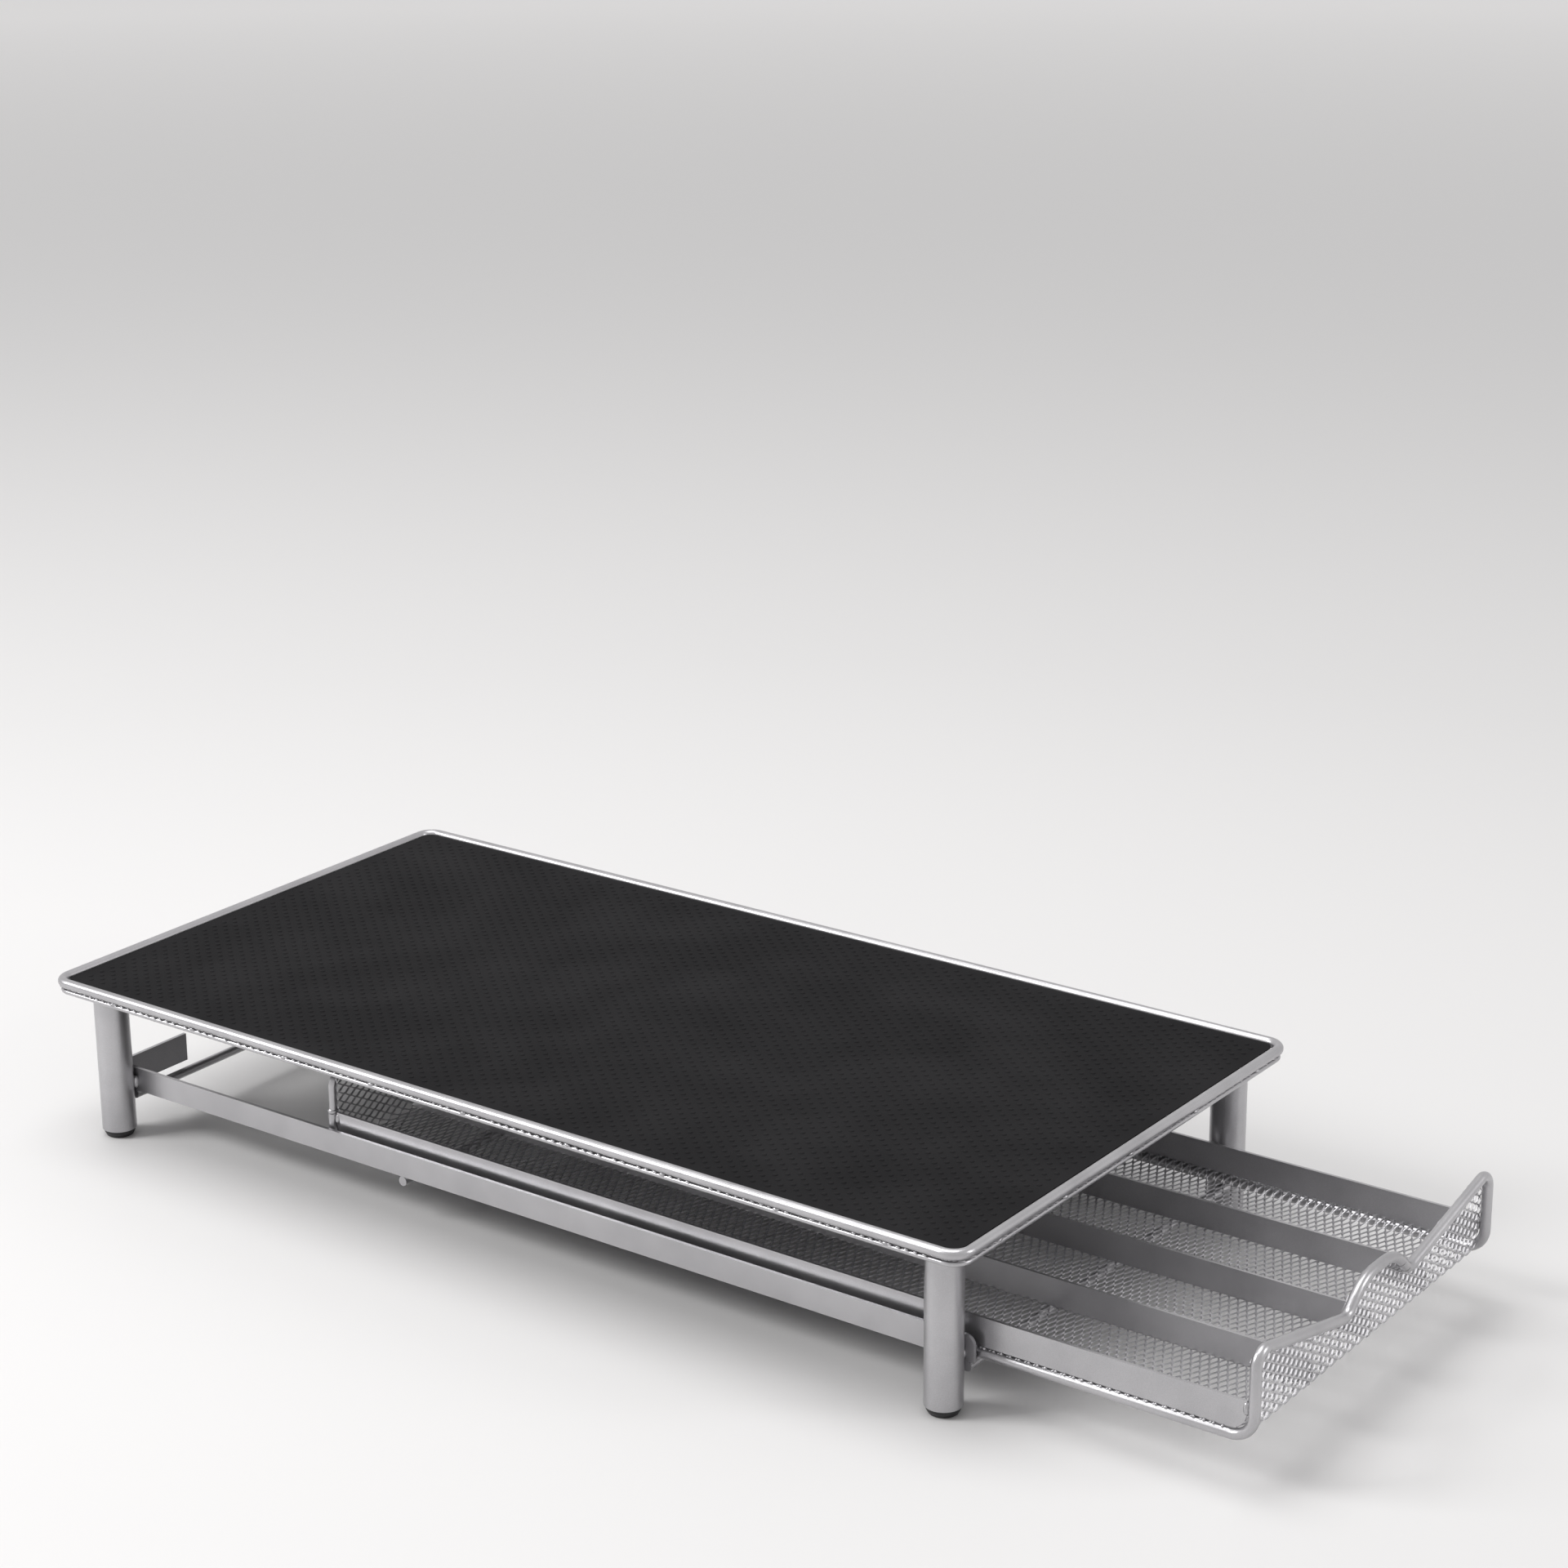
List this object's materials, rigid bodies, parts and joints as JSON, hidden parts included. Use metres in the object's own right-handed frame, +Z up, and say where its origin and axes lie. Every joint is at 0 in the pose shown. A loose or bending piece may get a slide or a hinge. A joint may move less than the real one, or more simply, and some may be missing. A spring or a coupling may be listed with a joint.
{
  "type": "coffee capsule drawer",
  "caption": "Low steel wire stand with a flat anti-slip mat on top and a pull-out mesh drawer below, whose floor is split into lanes for coffee capsules",
  "frame": {"origin": "on the table, under the middle of the whole outline as drawn, with the drawer 102.4 mm out", "axes": "+Z up, the drawer opens towards -Y, +X to the right of someone who looks along +Y at the drawer's front"},
  "size_m": [0.239, 0.5624, 0.073],
  "materials": {
    "wire_silver": "satin silver coating on steel wire, tube and strip",
    "mesh_silver": "satin silver coating on expanded steel mesh",
    "mat_rubber": "black soft plastic mat with a fine embossed pattern",
    "foot_black": "black matt end cap"
  },
  "bodies": {
    "stand": {"top_rim": "wire_silver", "clamp_wire": "wire_silver", "top_mesh": "mesh_silver", "anti_slip_mat": "mat_rubber", "front_top_bar": "wire_silver", "middle_top_bar": "wire_silver", "rear_top_bar": "wire_silver", "front_left_leg": "wire_silver", "front_right_leg": "wire_silver", "rear_left_leg": "wire_silver", "rear_right_leg": "wire_silver", "front_left_foot": "foot_black", "front_right_foot": "foot_black", "rear_left_foot": "foot_black", "rear_right_foot": "foot_black", "left_rail": "wire_silver", "right_rail": "wire_silver", "front_cross_rod": "wire_silver", "middle_cross_rod": "wire_silver", "rear_cross_rod": "wire_silver", "left_stop_tab": "wire_silver", "right_stop_tab": "wire_silver"},
    "drawer": {"drawer_frame": "wire_silver", "rear_frame": "wire_silver", "front_mesh": "mesh_silver", "floor_mesh": "mesh_silver", "rear_mesh": "mesh_silver", "left_side_strip": "wire_silver", "right_side_strip": "wire_silver", "left_divider": "wire_silver", "middle_divider": "wire_silver", "right_divider": "wire_silver"}
  },
  "joints": [
    {"name": "drawer_slide", "type": "slide", "parent": "stand", "child": "drawer", "axis": [0, -1, 0], "range_m": [-0.1114, 0.18]}
  ]
}
